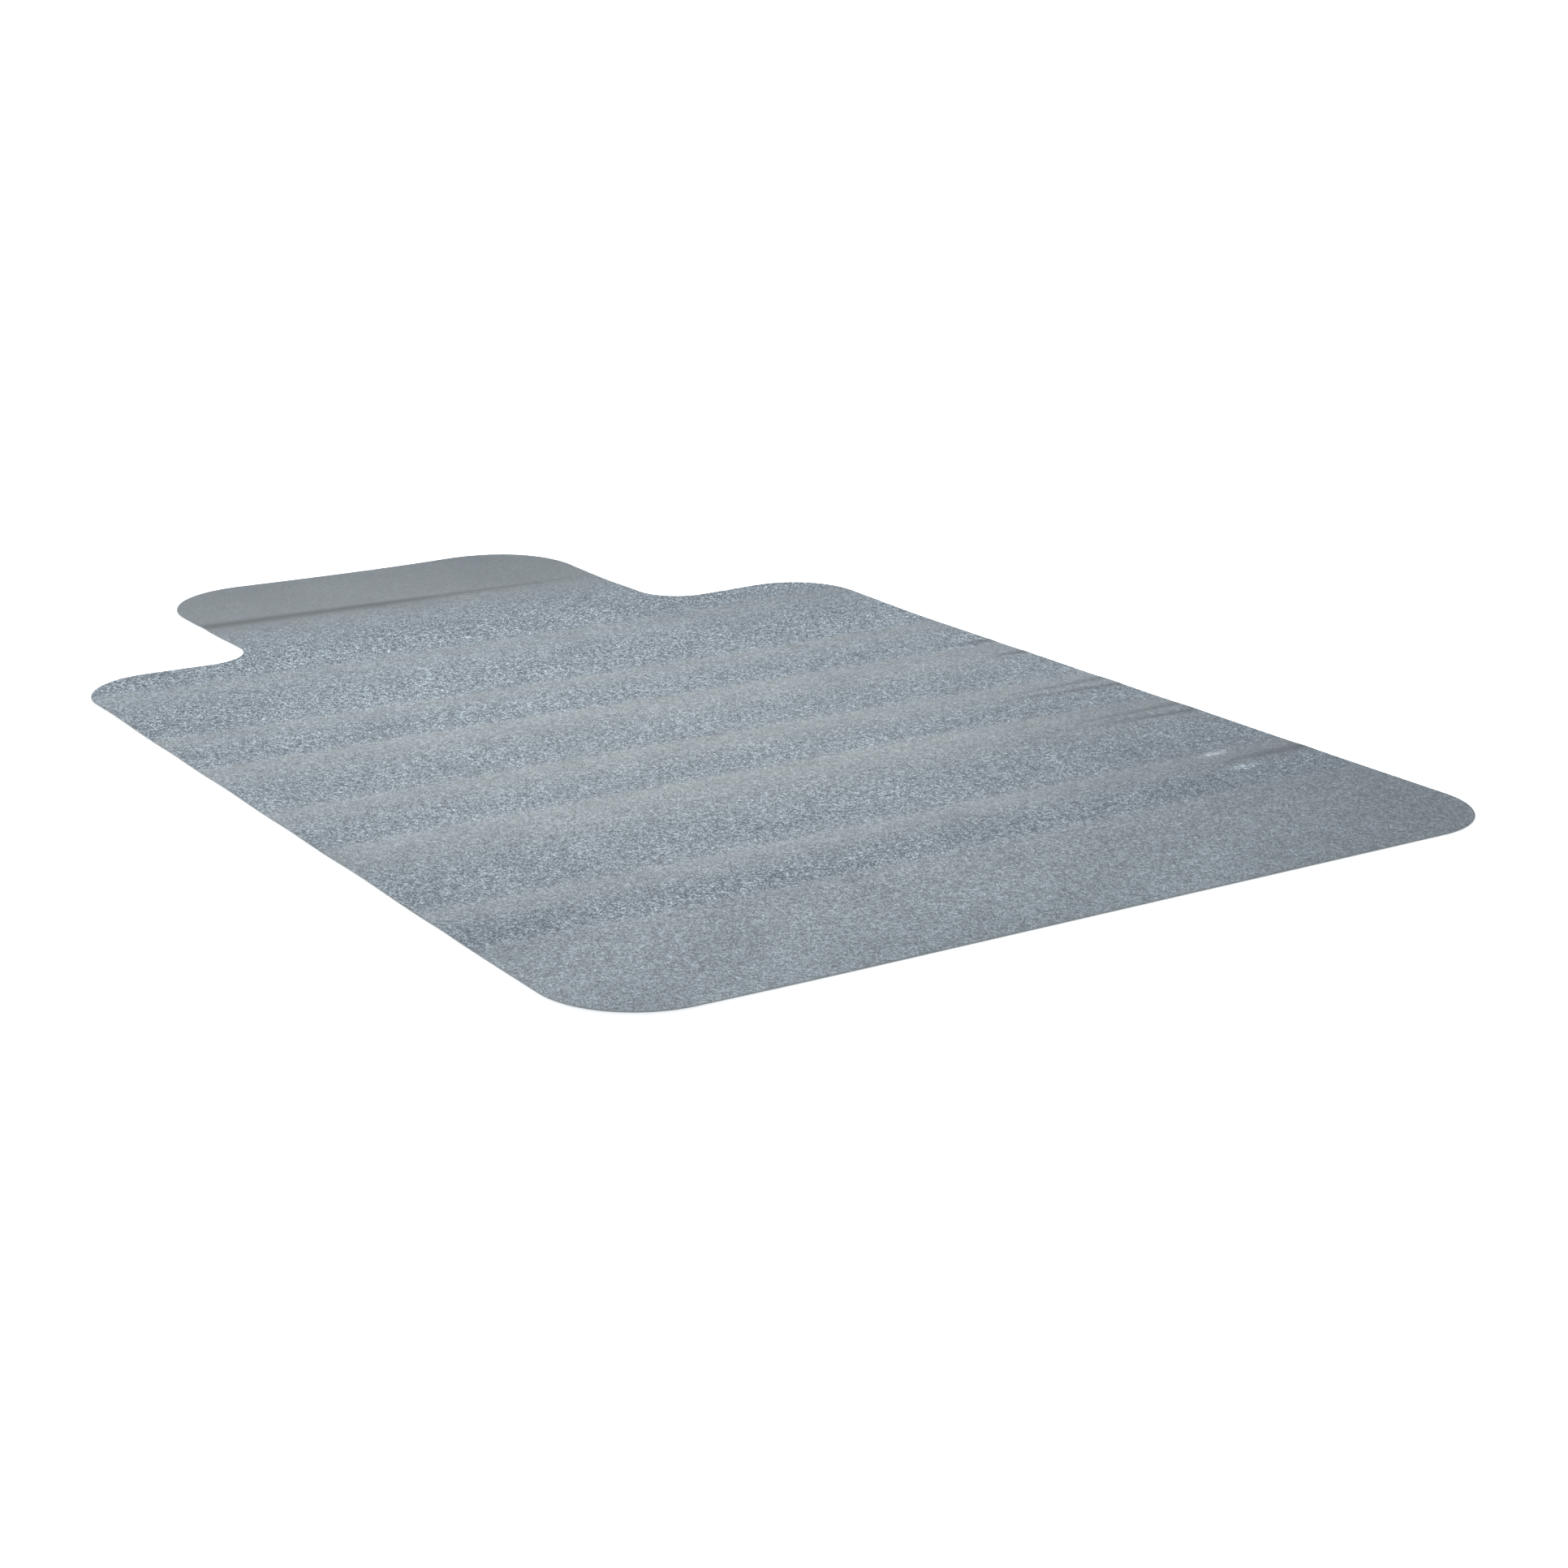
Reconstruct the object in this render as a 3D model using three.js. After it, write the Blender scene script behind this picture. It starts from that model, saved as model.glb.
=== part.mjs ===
// Lipped chair mat for a hard floor: an embossed vinyl wear sheet bonded to a thin slip-resistant backing.
// Millimetres, +Z up. The origin is on the floor under the centre of the overall outline, and the lip points to +Y.
import * as THREE from "three";

// Outline
const MAT_WIDTH = 762;
const MAT_LENGTH = 1219.2; // overall, lip included
const LIP_WIDTH = 414;
const LIP_LENGTH = 281;
const CORNER_RADIUS = 70; // the two front corners and the two shoulders
const LIP_CORNER_RADIUS = 95;
const LIP_ROOT_RADIUS = 45; // hollow curve where the lip meets the shoulder

// Layers
const BACKING_THICKNESS = 0.4;
const BOND_GAP = 0.1; // the bond line between the two layers
const WEAR_THICKNESS = 1.0;
const EDGE_ROUNDING = 0.2; // the die-cut edge of the wear sheet is rolled over by this much
const BACKING_SETBACK = 1; // the backing ends this far inside the wear sheet's edge

const STEPS_PER_CORNER = 16;

const QUARTER = Math.PI / 2;

// The mat seen from above, drawn anticlockwise from the front edge and set in from the real edge by `setback`.
function matOutline(setback = 0) {
  const side = MAT_WIDTH / 2 - setback;
  const front = -MAT_LENGTH / 2 + setback;
  const lipEnd = MAT_LENGTH / 2 - setback;
  const lipSide = LIP_WIDTH / 2 - setback;
  const shoulder = MAT_LENGTH / 2 - LIP_LENGTH - setback;
  const cornerRadius = CORNER_RADIUS - setback;
  const lipRadius = LIP_CORNER_RADIUS - setback;
  const rootRadius = LIP_ROOT_RADIUS + setback;

  const outline = new THREE.Shape();
  const corner = (x, y, radius, start) => outline.absarc(x, y, radius, start, start + QUARTER, false);
  const hollow = (x, y, start) => outline.absarc(x, y, rootRadius, start, start - QUARTER, true);

  corner(side - cornerRadius, front + cornerRadius, cornerRadius, -QUARTER);
  corner(side - cornerRadius, shoulder - cornerRadius, cornerRadius, 0);
  hollow(lipSide + rootRadius, shoulder + rootRadius, -QUARTER);
  corner(lipSide - lipRadius, lipEnd - lipRadius, lipRadius, 0);
  corner(-lipSide + lipRadius, lipEnd - lipRadius, lipRadius, QUARTER);
  hollow(-lipSide - rootRadius, shoulder + rootRadius, 0);
  corner(-side + cornerRadius, shoulder - cornerRadius, cornerRadius, QUARTER);
  corner(-side + cornerRadius, front + cornerRadius, cornerRadius, 2 * QUARTER);
  outline.closePath();
  return outline;
}

// The embossed upper sheet that the casters roll on, with its top and bottom edges rounded over.
function wearSheet() {
  const geometry = new THREE.ExtrudeGeometry(matOutline(), {
    depth: WEAR_THICKNESS - 2 * EDGE_ROUNDING,
    bevelEnabled: true,
    bevelThickness: EDGE_ROUNDING,
    bevelSize: EDGE_ROUNDING,
    bevelOffset: -EDGE_ROUNDING,
    bevelSegments: 2,
    curveSegments: STEPS_PER_CORNER,
  });
  const material = new THREE.MeshStandardMaterial({ color: 0x787d7e, roughness: 0.35, metalness: 0 });
  const sheet = new THREE.Mesh(geometry, material);
  sheet.name = "wear_sheet";
  sheet.position.z = BACKING_THICKNESS + BOND_GAP + EDGE_ROUNDING;
  return sheet;
}

// The thin matt layer under the wear sheet that clings to the floor.
function gripBacking() {
  const geometry = new THREE.ExtrudeGeometry(matOutline(BACKING_SETBACK), {
    depth: BACKING_THICKNESS,
    bevelEnabled: false,
    curveSegments: STEPS_PER_CORNER,
  });
  const material = new THREE.MeshStandardMaterial({ color: 0x6f757c, roughness: 0.85, metalness: 0 });
  const backing = new THREE.Mesh(geometry, material);
  backing.name = "grip_backing";
  return backing;
}

const chairMat = new THREE.Group();
chairMat.add(gripBacking(), wearSheet());

export default chairMat;
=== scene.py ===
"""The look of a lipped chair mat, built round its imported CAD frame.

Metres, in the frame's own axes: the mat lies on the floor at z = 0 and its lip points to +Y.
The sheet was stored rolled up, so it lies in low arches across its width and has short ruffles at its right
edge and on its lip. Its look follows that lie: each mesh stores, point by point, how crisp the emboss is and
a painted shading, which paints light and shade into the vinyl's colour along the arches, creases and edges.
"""

import math

import bpy
import numpy as np
from mathutils import Matrix, Vector
from mathutils.geometry import delaunay_2d_cdt


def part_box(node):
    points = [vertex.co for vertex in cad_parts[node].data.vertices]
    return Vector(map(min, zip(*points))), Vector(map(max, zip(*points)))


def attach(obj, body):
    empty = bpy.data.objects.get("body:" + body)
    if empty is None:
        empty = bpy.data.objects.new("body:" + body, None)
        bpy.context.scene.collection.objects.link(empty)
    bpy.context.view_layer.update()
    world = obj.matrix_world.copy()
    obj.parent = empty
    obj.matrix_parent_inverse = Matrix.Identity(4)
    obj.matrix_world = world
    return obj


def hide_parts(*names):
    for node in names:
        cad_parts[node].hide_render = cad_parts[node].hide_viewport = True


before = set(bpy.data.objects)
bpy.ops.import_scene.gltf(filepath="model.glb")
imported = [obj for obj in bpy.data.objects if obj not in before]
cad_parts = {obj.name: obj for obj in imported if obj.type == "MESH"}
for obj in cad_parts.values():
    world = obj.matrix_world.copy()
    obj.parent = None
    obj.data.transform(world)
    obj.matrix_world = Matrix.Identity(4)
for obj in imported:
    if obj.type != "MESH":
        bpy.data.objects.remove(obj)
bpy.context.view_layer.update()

# ---------------------------------------------------------------- sizes

wear_low, wear_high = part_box("wear_sheet")
backing_low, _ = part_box("grip_backing")

MAT_WIDTH = wear_high.x - wear_low.x
MAT_LENGTH = wear_high.y - wear_low.y
LIP_WIDTH = 0.414
LIP_LENGTH = 0.281
CORNER_RADIUS = 0.070  # the two front corners and the two shoulders
LIP_CORNER_RADIUS = 0.095
LIP_ROOT_RADIUS = 0.045

SIDE = MAT_WIDTH / 2
LIP_SIDE = LIP_WIDTH / 2
FRONT = -MAT_LENGTH / 2
LIP_END = MAT_LENGTH / 2
SHOULDER = LIP_END - LIP_LENGTH

BACKING_SETBACK = backing_low.x - wear_low.x
WEAR_EDGE_ROUNDING = 0.0002
BACKING_EDGE_ROUNDING = 0.0001
BOND_LINE = 0.00005  # what is left between the two layers

# ---------------------------------------------------------------- how the sheet lies

# y where the sheet touches the floor, with an arch between each two
TOUCH_LINES = (-0.450, -0.369, -0.211, -0.114, 0.018, 0.115, 0.272, 0.440)
ARCH_RISE = 0.005  # an arch's height, as a share of its span
ARCH_LEAN = 1.36  # above 1, an arch's crest is nearer to the lip
ARCH_SWAY = 0.004  # how far the touch lines wander along the mat
SWAY_ACROSS = 5.1  # radians of that wander per metre of x
SWAY_ALONG = 9.0  # and per metre of y
RUFFLE_SIDE_START = 0.22  # the arches die out from this x to the right edge
ARCH_AT_RIGHT_EDGE = 0.35  # the share of an arch that is left there

# Short ruffles that run in from a long edge, each between two creases, or along one where there is no gap:
# edge x, y, reach, half the gap between the creases at the edge, crease width, height
RUFFLES = (
    (SIDE, 0.030, 0.070, 0.000, 0.005, 0.0003),
    (SIDE, -0.022, 0.060, 0.000, 0.005, 0.0003),
    (SIDE, -0.145, 0.160, 0.012, 0.0038, 0.0003),
    (SIDE, -0.245, 0.190, 0.012, 0.0038, 0.0003),
    (SIDE, -0.386, 0.110, 0.000, 0.009, 0.0003),
    (-LIP_SIDE, 0.464, 0.480, 0.000, 0.012, 0.0006),
)
RUFFLE_TIP_WIDTH = 0.35  # a ruffle's width at its tip, as a share of its width at the edge
RUFFLE_FULL_FROM = 0.7  # a ruffle has its full height from this share of its reach to the edge

# Corners that stay lifted: x, y, height
LIFTED_CORNERS = (
    (-SIDE, FRONT, 0.0014),
    (SIDE, SHOULDER, 0.0035),
    (-SIDE, SHOULDER, 0.0006),
    (LIP_SIDE, LIP_END, 0.0037),
    (-LIP_SIDE, LIP_END, 0.0009),
)
LIFT_REACH = 0.110


def smooth_step(value, start, end):
    """0 before start, 1 after end, and an even S between them."""
    t = np.clip((value - start) / (end - start), 0, 1)
    return t * t * (3 - 2 * t)


def arches(x, y):
    """Yields each arch's span, and each point's share of the way along it from its front touch line."""
    y = y + ARCH_SWAY * np.sin(SWAY_ACROSS * x + SWAY_ALONG * y)
    for start, end in zip(TOUCH_LINES[:-1], TOUCH_LINES[1:]):
        yield end - start, np.clip((y - start) / (end - start), 0, 1)


def arch_fade(x):
    """The share of an arch that is left at x: the ruffles take over along the right edge."""
    return 1 - (1 - ARCH_AT_RIGHT_EDGE) * smooth_step(x, RUFFLE_SIDE_START, SIDE)


def ruffles(x, y):
    """Yields each ruffle's height at each point, and how deep in its creases that point is (0 to 1)."""
    for edge, centre, reach, gap, width, rise in RUFFLES:
        share = np.clip(1 - np.abs(edge - x) / reach, 0, 1)
        off = np.abs(y - centre) / (RUFFLE_TIP_WIDTH + (1 - RUFFLE_TIP_WIDTH) * share)
        fade = smooth_step(share, 0, RUFFLE_FULL_FROM)
        ridge = rise * fade * np.exp(-((off / (gap + width)) ** 2))
        crease = fade * np.exp(-(((off - gap) / width) ** 2))
        yield ridge, crease


def lifted_corners(x, y):
    """The height that the curling corners add."""
    height = np.zeros_like(y)
    for corner_x, corner_y, lift in LIFTED_CORNERS:
        height += lift * np.exp(-((x - corner_x) ** 2 + (y - corner_y) ** 2) / LIFT_REACH**2)
    return height


def lie(x, y):
    """The height of the mat's underside above the floor."""
    height = lifted_corners(x, y)
    for span, along in arches(x, y):
        height += ARCH_RISE * span * arch_fade(x) * np.sin(np.pi * along**ARCH_LEAN) ** 2
    for ridge, _ in ruffles(x, y):
        height += ridge
    return height


# ---------------------------------------------------------------- how its look follows from that

# Crispness is how strongly the emboss stands out: 0 is smooth, and the crispest flank of an arch is about 1.
# It also sets the colour and the painted glints' strength, so its bands are partly painted reflection as well
# as a real change in the emboss.
PRESSED_CRISPNESS = 0.40  # at the touch lines, where the emboss is pressed flatter
FLANK_CRISPNESS = 0.52  # what the front flank of an arch has more
FRONT_STRIP_SHARE = 0.45  # the share of that on the flat strip in front of the arches
CREASE_SHARE = 0.6  # the share of that which a crease loses
GAIN_TOWARDS_LIP = 0.45
LOSS_ON_LIP_END = 0.5

# Painted shading is a factor on the vinyl's own colour: painted shade and painted highlights that follow the
# lie.
FLANK_SHADE = 0.16  # painted shade: the front flank of an arch is this much darker
TOUCH_LINE_SHINE = 0.10  # and a touch line is this much lighter, a painted sheen
TOUCH_LINE_WIDTH = 0.004
# painted shade in the ruffles' creases
CREASE_SHADE = 0.42
# painted shade towards the front right, on the strip in front of the arches and on the lip's end
FRONT_RIGHT_SHADE = 0.14
FRONT_STRIP_SHADE = 0.07
LIP_END_SHADE = 0.11

# Painted highlights (glints) at the tip of the front ruffle: x, y
GLINTS = (
    (0.305, -0.365),
    (0.301, -0.405),
)
GLINT_SHINE = 1.8
GLINT_WIDTH = 0.011
GLINT_LENGTH = 0.003

# Where the look changes along or across the mat: the coordinate where the change starts, and where it ends
EMBOSS_FRONT_STRIP = (-0.41, -0.48)
EMBOSS_TOWARDS_LIP = (-0.10, 0.30)
EMBOSS_LIP_END = (0.40, 0.48)
SHADE_FRONT_STRIP = (-0.38, -0.43)
SHADE_LIP_END = (0.38, 0.50)
SHADE_TO_THE_RIGHT = (0.10, 0.34)
SHADE_TO_THE_FRONT = (-0.05, -0.35)


def front_flank(along):
    """How fully a point is on an arch's front flank (0 to 1), from its share of the way along the arch."""
    return np.sin(np.pi * np.sqrt(along))


def crispness(x, y):
    """How crisp the emboss is: most on the arches' front flanks, least in creases and on the lip's end."""
    flank = FRONT_STRIP_SHARE * smooth_step(y, *EMBOSS_FRONT_STRIP)
    for _, along in arches(x, y):
        flank += front_flank(along)
    for _, crease in ruffles(x, y):
        flank -= CREASE_SHARE * crease
    crisp = PRESSED_CRISPNESS + FLANK_CRISPNESS * flank
    crisp *= 1 + GAIN_TOWARDS_LIP * smooth_step(y, *EMBOSS_TOWARDS_LIP)
    return crisp * (1 - LOSS_ON_LIP_END * smooth_step(y, *EMBOSS_LIP_END))


def painted_shading(x, y):
    """Painted light and shade: lightest at touch lines and glints, darkest on flanks and in creases."""
    shading_and_tone = np.ones_like(y)
    for span, along in arches(x, y):
        shading_and_tone -= FLANK_SHADE * front_flank(along) * arch_fade(x)
        touch_line = np.exp(-((span * along / TOUCH_LINE_WIDTH) ** 2)) * (along > 0)
        shading_and_tone += TOUCH_LINE_SHINE * touch_line * arch_fade(x)
    for _, crease in ruffles(x, y):
        shading_and_tone -= CREASE_SHADE * crease
    for glint_x, glint_y in GLINTS:
        away = ((x - glint_x) / GLINT_WIDTH) ** 2 + ((y - glint_y) / GLINT_LENGTH) ** 2
        shading_and_tone += GLINT_SHINE * np.exp(-away)
    front_right = smooth_step(x, *SHADE_TO_THE_RIGHT) * smooth_step(y, *SHADE_TO_THE_FRONT)
    shading_and_tone *= 1 - FRONT_RIGHT_SHADE * front_right
    shading_and_tone *= 1 - FRONT_STRIP_SHADE * smooth_step(y, *SHADE_FRONT_STRIP)
    return shading_and_tone * (1 - LIP_END_SHADE * smooth_step(y, *SHADE_LIP_END))


# ---------------------------------------------------------------- meshes

EDGE_STEP = 0.003
GRID_ACROSS = 0.008
GRID_ALONG = 0.003
GRID_CLEARANCE = 0.002  # the inner grid stays this far inside the innermost ring
CDT_TOLERANCE = 1e-7
KEEP_INSIDE = 1  # the triangulation's own code for keeping only what is inside the ring

EDGE_PROFILE = ((0.0, 1.0), (0.3, 0.7), (1.0, 0.0))  # how far down and in the rounded edge is, in roundings
CUT_EDGE_ANGLE = math.radians(20)  # the faces of the rounded cut edge meet more sharply than this
CUT_EDGE_CRISPNESS = 0.0
# painted shade on the cut edge and the underside
CUT_EDGE_SHADE = 0.85


def corner_points(setback):
    """The rounded corners of the mat's edge, anticlockwise from the front right, set in by `setback`."""
    right_half = (
        (SIDE - CORNER_RADIUS, FRONT + CORNER_RADIUS, CORNER_RADIUS, -90, 90),
        (SIDE - CORNER_RADIUS, SHOULDER - CORNER_RADIUS, CORNER_RADIUS, 0, 90),
        (LIP_SIDE + LIP_ROOT_RADIUS, SHOULDER + LIP_ROOT_RADIUS, LIP_ROOT_RADIUS, -90, -90),
        (LIP_SIDE - LIP_CORNER_RADIUS, LIP_END - LIP_CORNER_RADIUS, LIP_CORNER_RADIUS, 0, 90),
    )
    points = []
    for x, y, radius, start, turn in right_half:
        reach = radius - math.copysign(setback, turn)
        angles = np.radians(np.linspace(start, start + turn, round(radius * math.pi / 2 / EDGE_STEP)))
        points += [(x + reach * math.cos(a), y + reach * math.sin(a)) for a in angles]
    points += [(-x, y) for x, y in reversed(points)]
    return np.array(points)


def edge_ring(setback):
    """The mat's whole edge, set in by `setback`. Every setback gives the same number of points."""
    nominal = corner_points(0)
    wanted = corner_points(setback)
    gaps = np.linalg.norm(np.roll(nominal, -1, axis=0) - nominal, axis=1)
    ring = []
    for here, there, gap in zip(wanted, np.roll(wanted, -1, axis=0), gaps):
        steps = max(1, round(gap / EDGE_STEP))
        ring += [here + (there - here) * k / steps for k in range(steps)]
    return np.array(ring)


def inside_mat(x, y, setback):
    """True where a point is inside the mat's edge, set in by `setback`."""
    across = np.abs(x)
    body = (across < SIDE - setback) & (y > FRONT + setback) & (y < SHOULDER - setback)
    lip = (across < LIP_SIDE - setback) & (y >= SHOULDER - setback) & (y < LIP_END - setback)
    inside = body | lip
    for corner_y, corner_x, radius, lip_way in (
        (FRONT, SIDE, CORNER_RADIUS, -1),
        (SHOULDER, SIDE, CORNER_RADIUS, 1),
        (LIP_END, LIP_SIDE, LIP_CORNER_RADIUS, 1),
    ):
        from_x = across - (corner_x - radius)
        from_y = lip_way * y - (lip_way * corner_y - radius)
        near = (from_x > 0) & (from_y > 0) & (from_y < radius)
        inside &= ~(near & (np.hypot(from_x, from_y) > radius - setback))
    root_x = LIP_SIDE + LIP_ROOT_RADIUS - across
    root_y = SHOULDER + LIP_ROOT_RADIUS - y
    at_root = (root_x > 0) & (root_y > 0) & (across > LIP_SIDE - setback) & (y > SHOULDER - setback)
    return inside | (at_root & (np.hypot(root_x, root_y) > LIP_ROOT_RADIUS + setback))


def flat_triangles(ring, setback):
    """The face inside a ring as flat points and triangles. The ring's points come first, in order."""
    across = np.arange(-SIDE, SIDE, GRID_ACROSS) + GRID_ACROSS / 2
    along = np.arange(FRONT, LIP_END, GRID_ALONG) + GRID_ALONG / 2
    x, y = np.meshgrid(across, along)
    x = x + GRID_ACROSS / 2 * (np.arange(len(along)) % 2)[:, None]
    keep = inside_mat(x, y, setback + GRID_CLEARANCE)
    inner = np.stack([x[keep], y[keep]], axis=1)
    points = [Vector(p) for p in np.concatenate([ring, inner])]
    made, _, triangles, *_ = delaunay_2d_cdt(points, [], [list(range(len(ring)))], KEEP_INSIDE, CDT_TOLERANCE)
    return np.array([tuple(p) for p in made]), [list(t) for t in triangles]


def layer_mesh(name, bottom, top, setback, rounding):
    """One layer of the mat as a closed mesh: two faces that lie as the sheet does, and a rounded edge."""
    steps = [(setback + rounding * inset, top - rounding * drop) for drop, inset in EDGE_PROFILE]
    steps += [(inset, bottom + top - z) for inset, z in reversed(steps)]  # the lower half mirrors the upper
    rings = [edge_ring(inset) for inset, _ in steps]
    flat, triangles = flat_triangles(rings[0], setback + rounding)
    count = len(rings[0])

    xy = np.concatenate([flat, *rings[1:-1], flat])
    edge_heights = [np.full(count, z) for _, z in steps[1:-1]]
    heights = np.concatenate([np.full(len(flat), top), *edge_heights, np.full(len(flat), bottom)])
    z = heights + lie(xy[:, 0], xy[:, 1])
    starts = [0, *(len(flat) + count * k for k in range(len(steps) - 1))]

    faces = [tuple(t) for t in triangles]
    for upper, lower in zip(starts[:-1], starts[1:]):
        for k in range(count):
            following = (k + 1) % count
            faces.append((upper + k, lower + k, lower + following, upper + following))
    faces += [tuple(starts[-1] + v for v in reversed(t)) for t in triangles]

    mesh = bpy.data.meshes.new(name)
    mesh.from_pydata(np.column_stack([xy, z]).tolist(), [], faces)
    on_top = np.arange(len(xy)) < len(flat)
    # the top face takes its crispness and its painted light and shade from the lie; the rest takes the cut
    # edge's values
    for attribute, field, elsewhere in (
        ("crisp", crispness, CUT_EDGE_CRISPNESS),
        ("painted_shading", painted_shading, CUT_EDGE_SHADE),
    ):
        values = np.where(on_top, field(xy[:, 0], xy[:, 1]), elsewhere)
        mesh.attributes.new(attribute, "FLOAT", "POINT").data.foreach_set("value", values)
    mesh.validate()
    mesh.shade_smooth()
    mesh.set_sharp_from_angle(angle=CUT_EDGE_ANGLE)
    piece = bpy.data.objects.new(name, mesh)
    bpy.context.scene.collection.objects.link(piece)
    return piece


# ---------------------------------------------------------------- materials


class Nodes:
    """A short way to add nodes to one material or world."""

    def __init__(self, owner):
        owner.use_nodes = True
        self.tree = owner.node_tree
        self.tree.nodes.clear()

    def add(self, kind, **inputs):
        """Adds a node. An input is a number, a colour or another node's output."""
        node = self.tree.nodes.new(kind)
        for name, value in inputs.items():
            self.set(node, name.replace("_", " "), value)
        return node

    def set(self, node, name, value):
        """Sets or links an input, by its name or by its number where the name isn't unique."""
        socket = node.inputs[int(name) if name.isdigit() else name]
        if isinstance(value, bpy.types.NodeSocket):
            self.tree.links.new(value, socket)
        else:
            socket.default_value = value

    def maths(self, operation, a, b):
        node = self.tree.nodes.new("ShaderNodeMath")
        node.operation = operation
        self.set(node, "0", a)
        self.set(node, "1", b)
        return node.outputs[0]

    def vector_maths(self, operation, a, b):
        node = self.tree.nodes.new("ShaderNodeVectorMath")
        node.operation = operation
        self.set(node, "0", a)
        self.set(node, "1", b)
        return node.outputs["Value" if operation == "DOT_PRODUCT" else "Vector"]

    def attribute(self, name):
        node = self.tree.nodes.new("ShaderNodeAttribute")
        node.attribute_name = name
        return node.outputs["Fac"]

    def noise(self, place, size, detail):
        """Soft random patches of about `size`, from 0 to 1."""
        return self.add("ShaderNodeTexNoise", Vector=place, Scale=1 / size, Detail=detail).outputs["Fac"]

    def remap(self, value, from_min, from_max, to_min, to_max):
        node = self.tree.nodes.new("ShaderNodeMapRange")
        names = ("Value", "From Min", "From Max", "To Min", "To Max")
        for name, setting in zip(names, (value, from_min, from_max, to_min, to_max)):
            self.set(node, name, setting)
        return node.outputs["Result"]

    def blend(self, share, low, high):
        """A colour between low and high."""
        node = self.tree.nodes.new("ShaderNodeMix")
        node.data_type = "RGBA"
        self.set(node, "0", share)
        self.set(node, "6", (*low, 1))
        self.set(node, "7", (*high, 1))
        return node.outputs[2]

    def principled(self, **inputs):
        """Adds the material's one shader and makes it the surface."""
        shader = self.add("ShaderNodeBsdfPrincipled", **inputs)
        self.add("ShaderNodeOutputMaterial", Surface=shader.outputs["BSDF"])


PATCH_NOISE = (0.3, 0.7)  # the range of the patches' noise that is used

VINYL_PRESSED = (0.209, 0.216, 0.210)  # where the emboss is pressed flat; paler there, partly as painted reflection
VINYL_CRISP = (0.178, 0.199, 0.213)
VINYL_IOR = 1.5
ROUGH_PRESSED = 0.65
ROUGH_CRISP = 0.30
FULLY_CRISP = 0.3  # the crispness from which the roughness is ROUGH_CRISP
PEBBLE_WIDTH = 0.0009
PEBBLE_LENGTH = 0.0013  # the emboss is drawn out along the mat
PEBBLE_TILT = 0.10  # the slope of the steepest pebble
SPECKLE_RANGE = 6.0  # how many times lighter the palest pebble is than the darkest, painted glints among random tone
CLUSTER_SIZE = 0.0035  # neighbouring pebbles are alike over about this distance
CLUSTER_STRENGTH = 0.22
CLUSTER_NOISE = (0.25, 0.75)  # the range of the clusters' noise that is used
PATCH_SIZE = 0.080  # the vinyl's tone and gloss drift over this distance
PATCH_TONE = 0.07
PATCH_ROUGHNESS = 0.06


def embossed_vinyl():
    """Blue-grey vinyl, semi-gloss, with a fine random pebble emboss, and painted light and shade in its
    colour.
    """
    material = bpy.data.materials.new("embossed_vinyl")
    nodes = Nodes(material)
    place = nodes.add("ShaderNodeTexCoord").outputs["Object"]
    crisp = nodes.attribute("crisp")
    # the mesh's painted light and shade
    shading_and_tone = nodes.attribute("painted_shading")

    drawn_out = nodes.vector_maths("MULTIPLY", place, (1.0, PEBBLE_WIDTH / PEBBLE_LENGTH, 1.0))
    pebble = nodes.add("ShaderNodeTexVoronoi", Vector=drawn_out, Scale=1 / PEBBLE_WIDTH)
    pebble.voronoi_dimensions = "2D"
    from_middle = nodes.vector_maths("SUBTRACT", drawn_out, pebble.outputs["Position"])
    way = nodes.vector_maths("SUBTRACT", pebble.outputs["Color"], (0.5, 0.5, 0.5))
    height = nodes.maths("MULTIPLY", nodes.vector_maths("DOT_PRODUCT", from_middle, way), 2 * PEBBLE_TILT)
    bump = nodes.add("ShaderNodeBump", Height=height, Strength=crisp, Distance=1.0)

    patches = nodes.noise(place, PATCH_SIZE, detail=3.0)
    clusters = nodes.noise(place, CLUSTER_SIZE, detail=1.0)
    likeness = nodes.remap(clusters, *CLUSTER_NOISE, -CLUSTER_STRENGTH, CLUSTER_STRENGTH)
    drift = nodes.remap(patches, *PATCH_NOISE, 1 - PATCH_TONE, 1 + PATCH_TONE)

    # Painted glints: a pebble is painted lighter the more it faces -x, plus random clusters; crispness sets
    # the strength
    painted_facet_light = nodes.vector_maths("DOT_PRODUCT", way, (1.0, 0.0, 0.0))
    speckle = nodes.maths("ADD", painted_facet_light, likeness)
    speckle = nodes.maths("POWER", SPECKLE_RANGE, nodes.maths("MULTIPLY", speckle, crisp))
    shading_and_tone = nodes.maths("MULTIPLY", nodes.maths("MULTIPLY", shading_and_tone, speckle), drift)
    # the colour drifts with crispness: partly painted reflection along the arches
    colour = nodes.vector_maths("MULTIPLY", nodes.blend(crisp, VINYL_PRESSED, VINYL_CRISP), shading_and_tone)
    roughness = nodes.maths(
        "ADD",
        nodes.remap(patches, *PATCH_NOISE, 0.0, PATCH_ROUGHNESS),
        nodes.remap(crisp, 0.0, FULLY_CRISP, ROUGH_PRESSED, ROUGH_CRISP),
    )

    nodes.principled(Base_Color=colour, Roughness=roughness, Normal=bump.outputs["Normal"], IOR=VINYL_IOR)
    return material


BACKING_DARK = (0.13, 0.15, 0.17)
BACKING_PALE = (0.19, 0.21, 0.23)
BACKING_GLOSSIEST = 0.72
BACKING_ROUGHEST = 0.86
BACKING_PATCH_SIZE = 0.020
GRAIN_SIZE = 0.0012
GRAIN_DEPTH = 0.0001
GRAIN_STRENGTH = 0.6


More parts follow.
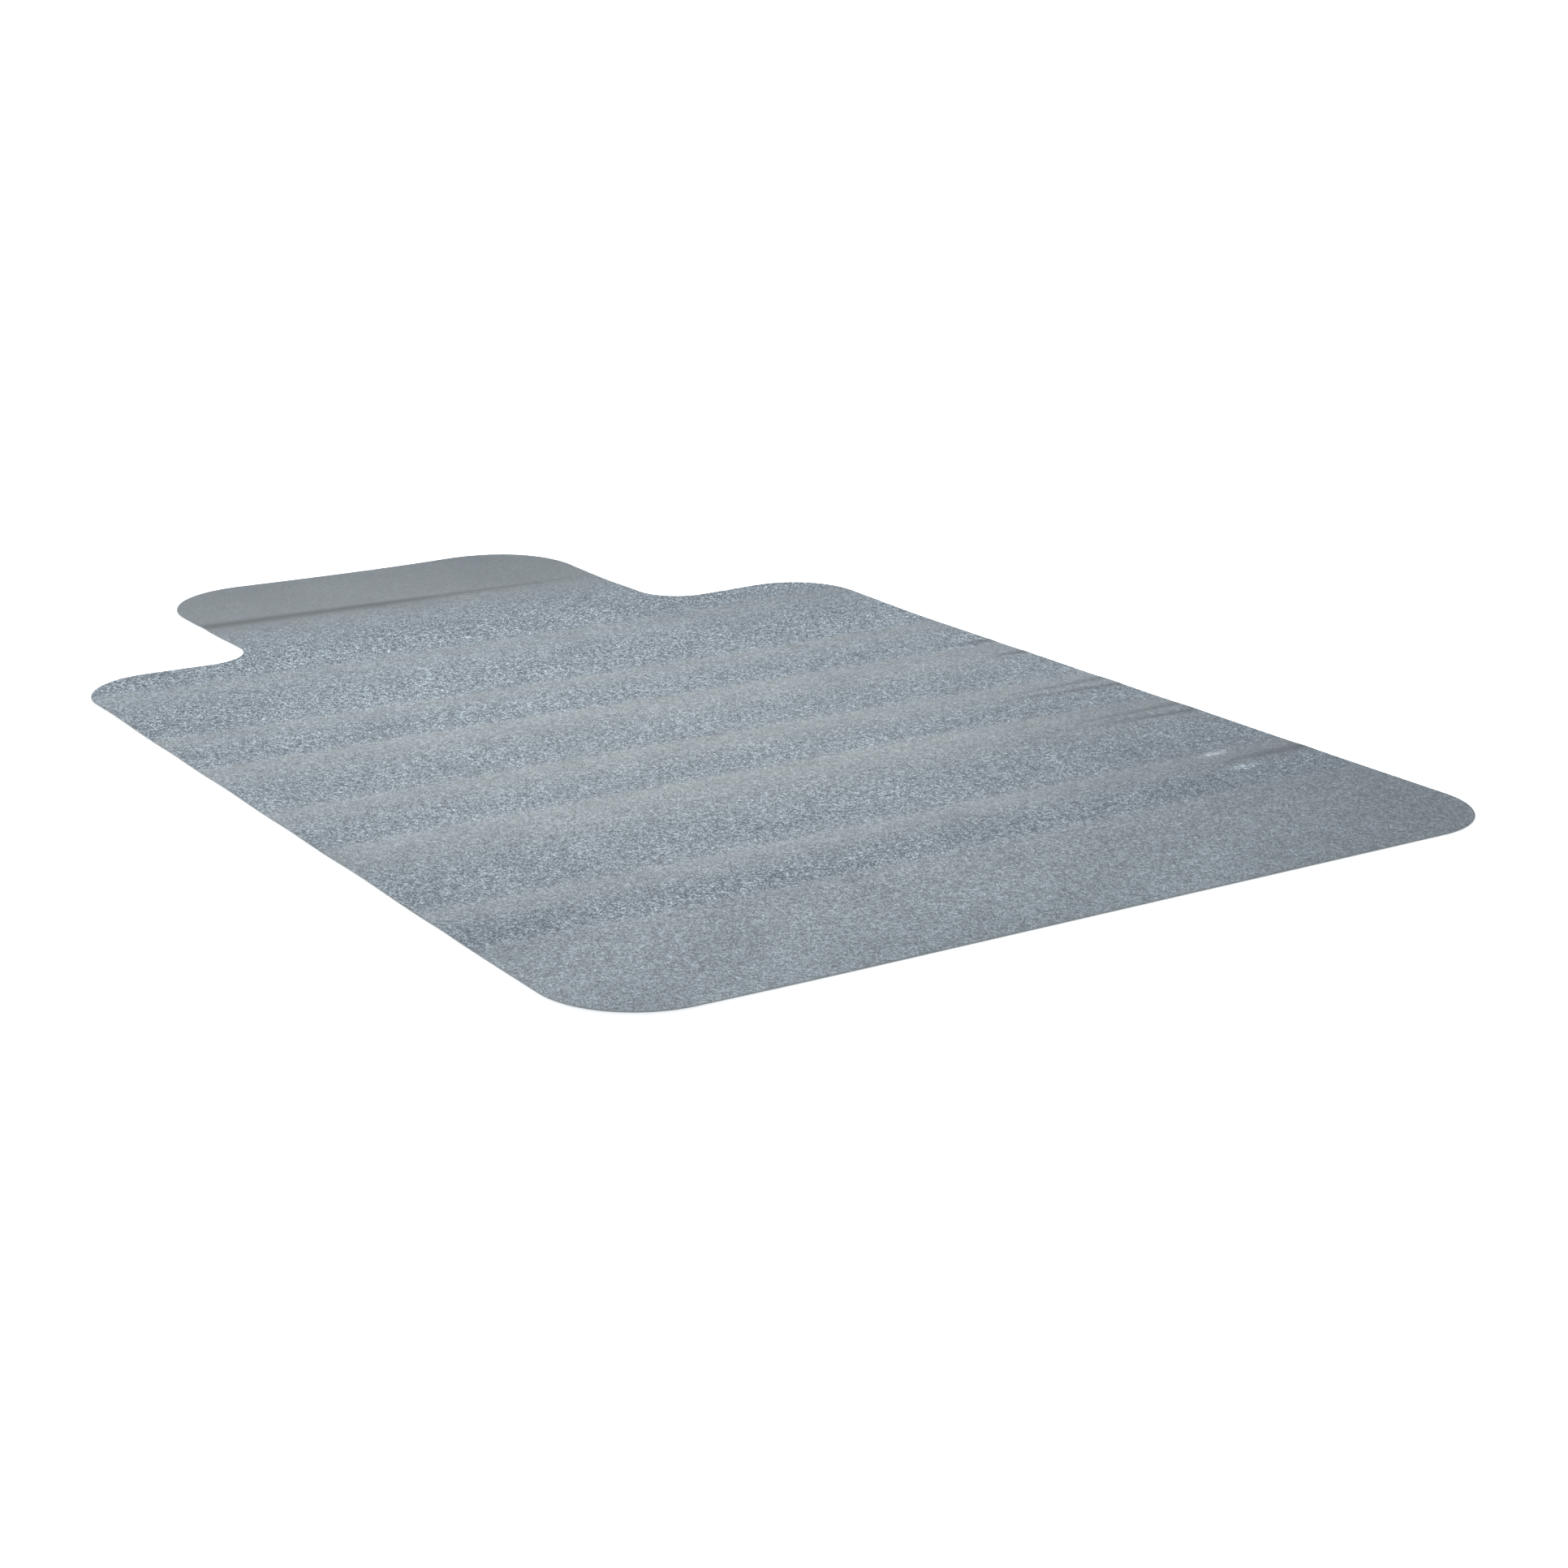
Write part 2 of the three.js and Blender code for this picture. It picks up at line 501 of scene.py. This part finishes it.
def backing_vinyl():
    """Matt grey vinyl with a faint leathery grain."""
    material = bpy.data.materials.new("backing_vinyl")
    nodes = Nodes(material)
    place = nodes.add("ShaderNodeTexCoord").outputs["Object"]
    grain = nodes.add("ShaderNodeTexVoronoi", Vector=place, Scale=1 / GRAIN_SIZE).outputs["Distance"]
    bump = nodes.add("ShaderNodeBump", Height=grain, Strength=GRAIN_STRENGTH, Distance=GRAIN_DEPTH)
    patches = nodes.noise(place, BACKING_PATCH_SIZE, detail=4.0)
    colour = nodes.blend(patches, BACKING_DARK, BACKING_PALE)
    roughness = nodes.remap(patches, *PATCH_NOISE, BACKING_GLOSSIEST, BACKING_ROUGHEST)
    nodes.principled(Base_Color=colour, Roughness=roughness, Normal=bump.outputs["Normal"])
    return material


# ---------------------------------------------------------------- the mat

wear = layer_mesh("wear_sheet_lying", wear_low.z, wear_high.z, 0.0, WEAR_EDGE_ROUNDING)
wear.data.materials.append(embossed_vinyl())
backing_top = wear_low.z - BOND_LINE
backing = layer_mesh("grip_backing_lying", backing_low.z, backing_top, BACKING_SETBACK, BACKING_EDGE_ROUNDING)
backing.data.materials.append(backing_vinyl())

for piece, node, slot in (
    (wear, "wear_sheet", "embossed_vinyl"),
    (backing, "grip_backing", "backing_vinyl"),
):
    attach(piece, "root")
    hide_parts(node)

# ---------------------------------------------------------------- studio

FLOOR_SIZE = 40.0
FLOOR_RIM = 1.6  # the floor turns up this far at its edge, so that low views have a white horizon
FLOOR_DROP = 0.0002  # keeps it clear of the mat's underside
FLOOR_COLOUR = (0.95, 0.95, 0.95, 1)
FLOOR_ROUGHNESS = 0.9
FLOOR_GLOW = 0.68  # the floor is pure white in the picture
ROOM_AT_HORIZON = 0.25
ROOM_OVERHEAD = 0.55
ROOM_TINT = (0.86, 1.0, 1.18)

CAMERA_AIM = Vector((-0.0168, -0.2440, -0.0010))
CAMERA_AZIMUTH = math.radians(-32.36)
CAMERA_ELEVATION = math.radians(16.86)
CAMERA_ROLL = math.radians(-0.155)
CAMERA_DISTANCE = 2.113
FOCAL_LENGTH = 63.89  # millimetres, as is the next
SENSOR_WIDTH = 36


def pale_floor():
    """A white floor that turns up a little at its far edge."""
    mesh = bpy.data.meshes.new("floor")
    half = FLOOR_SIZE / 2
    corners = ((-half, -half), (half, -half), (half, half), (-half, half))
    points = [(x, y, z) for z in (0, FLOOR_RIM) for x, y in corners]
    rim = [(k, (k + 1) % 4, (k + 1) % 4 + 4, k + 4) for k in range(4)]
    mesh.from_pydata(points, [], [(0, 1, 2, 3), *rim])
    floor = bpy.data.objects.new("floor", mesh)
    floor.location.z = -FLOOR_DROP
    bpy.context.scene.collection.objects.link(floor)
    material = bpy.data.materials.new("floor_white")
    nodes = Nodes(material)
    nodes.principled(
        Base_Color=FLOOR_COLOUR,
        Roughness=FLOOR_ROUGHNESS,
        Specular_IOR_Level=0.0,
        Emission_Color=(1, 1, 1, 1),
        Emission_Strength=FLOOR_GLOW,
    )
    mesh.materials.append(material)


def studio_light():
    """A pale room, brighter overhead."""
    world = bpy.data.worlds.new("studio")
    bpy.context.scene.world = world
    nodes = Nodes(world)
    direction = nodes.add("ShaderNodeTexCoord").outputs["Generated"]
    up = nodes.add("ShaderNodeSeparateXYZ", Vector=direction).outputs["Z"]
    level = nodes.remap(up, 0.0, 1.0, ROOM_AT_HORIZON, ROOM_OVERHEAD)
    background = nodes.add("ShaderNodeBackground", Color=(*ROOM_TINT, 1), Strength=level)
    nodes.add("ShaderNodeOutputWorld", Surface=background.outputs["Background"])


def soft_box(name, place, aim, size, power, colour):
    """A square lamp at `place` that faces `aim`."""
    lamp = bpy.data.lights.new(name, "AREA")
    lamp.shape = "SQUARE"
    lamp.size = size
    lamp.energy = power
    lamp.color = colour
    light = bpy.data.objects.new(name, lamp)
    light.location = place
    light.rotation_euler = (Vector(aim) - Vector(place)).to_track_quat("-Z", "Y").to_euler()
    bpy.context.scene.collection.objects.link(light)
    return light


def camera():
    """The photograph's view: low, from the front left, with a short telephoto lens."""
    level = math.cos(CAMERA_ELEVATION)
    back = Vector((
        math.sin(CAMERA_AZIMUTH) * level,
        -math.cos(CAMERA_AZIMUTH) * level,
        math.sin(CAMERA_ELEVATION),
    ))
    lens = bpy.data.cameras.new("camera")
    lens.sensor_width = SENSOR_WIDTH
    lens.lens = FOCAL_LENGTH
    lens.clip_end = 2 * FLOOR_SIZE
    shot = bpy.data.objects.new("camera", lens)
    turn = (-back).to_track_quat("-Z", "Y").to_matrix() @ Matrix.Rotation(CAMERA_ROLL, 3, "Z")
    shot.matrix_world = Matrix.Translation(CAMERA_AIM + back * CAMERA_DISTANCE) @ turn.to_4x4()
    bpy.context.scene.collection.objects.link(shot)
    bpy.context.scene.camera = shot


pale_floor()
studio_light()
soft_box(
    "overhead",
    place=(-0.08, -0.02, 0.95),
    aim=(-0.08, 0.02, 0.0),
    size=0.5,
    power=14.2,
    colour=(1.0, 0.985, 0.94),
)
left_fill = soft_box(
    "left_fill",
    place=(-1.0, -0.9, 1.3),
    aim=(-0.2, -0.3, 0.0),
    size=1.0,
    power=7.0,
    colour=(0.58, 0.76, 1.0),
)
left_fill.visible_glossy = False
camera()
bpy.context.scene.view_settings.view_transform = "Standard"
